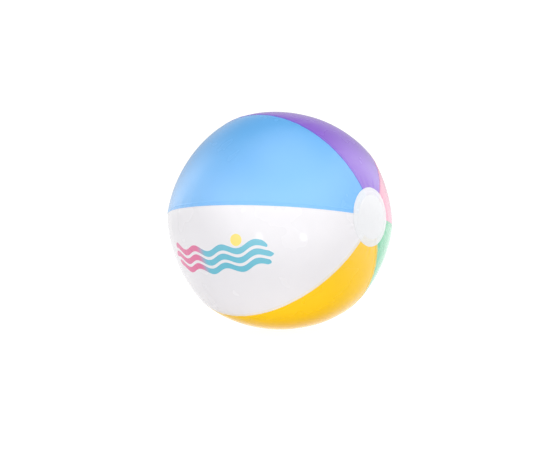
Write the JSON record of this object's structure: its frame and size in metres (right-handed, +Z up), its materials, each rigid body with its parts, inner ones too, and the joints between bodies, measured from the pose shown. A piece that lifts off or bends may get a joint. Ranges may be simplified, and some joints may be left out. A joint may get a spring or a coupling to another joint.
{
  "type": "inflatable beach ball",
  "caption": "Round inflatable ball of coloured film panels between two white end discs, with a push-in valve, plug and one-way flap.",
  "frame": {"origin": "centre of the inflated ball", "axes": "+X along the polar axis, where the panels' tips meet, towards the plain end disc; -X towards the valve; +Z up as it lies with that axis level"},
  "size_m": [0.3506, 0.35, 0.35],
  "materials": {
    "film_blue": "glossy soft vinyl film, welded",
    "film_white": "glossy soft vinyl film, welded",
    "film_yellow": "glossy soft vinyl film, welded",
    "film_green": "glossy soft vinyl film, welded",
    "film_pink": "glossy soft vinyl film, welded",
    "film_purple": "glossy soft vinyl film, welded",
    "valve_vinyl": "soft moulded vinyl, satin, slightly translucent",
    "plug_vinyl": "soft moulded vinyl, satin, slightly translucent",
    "flap_film": "thin clear vinyl film"
  },
  "bodies": {
    "ball": {"panel_blue": "film_blue", "panel_white": "film_white", "panel_yellow": "film_yellow", "panel_green": "film_green", "panel_pink": "film_pink", "panel_purple": "film_purple", "end_disc_plain": "film_white", "end_disc_valve": "film_white", "valve_flange": "valve_vinyl", "valve_diaphragm": "valve_vinyl"},
    "stem": {"valve_stem": "valve_vinyl", "plug_ring": "plug_vinyl", "plug_strap": "plug_vinyl"},
    "plug": {"valve_plug": "plug_vinyl"},
    "flap": {"check_flap": "flap_film"}
  },
  "joints": [
    {"name": "valve_push", "type": "slide", "parent": "ball", "child": "stem", "axis": [-1, 0, 0], "range_m": [0, 0.014], "deforming": ["valve_diaphragm"]},
    {"name": "plug_swing", "type": "hinge", "parent": "stem", "child": "plug", "pos_m": [-0.1703, 0, 0.014], "axis": [0, 1, 0], "range_deg": [0, 105], "deforming": ["plug_strap"]},
    {"name": "flap_swing", "type": "hinge", "parent": "stem", "child": "flap", "pos_m": [-0.15995, 0, 0.005], "axis": [0, -1, 0], "range_deg": [0, 45]}
  ]
}
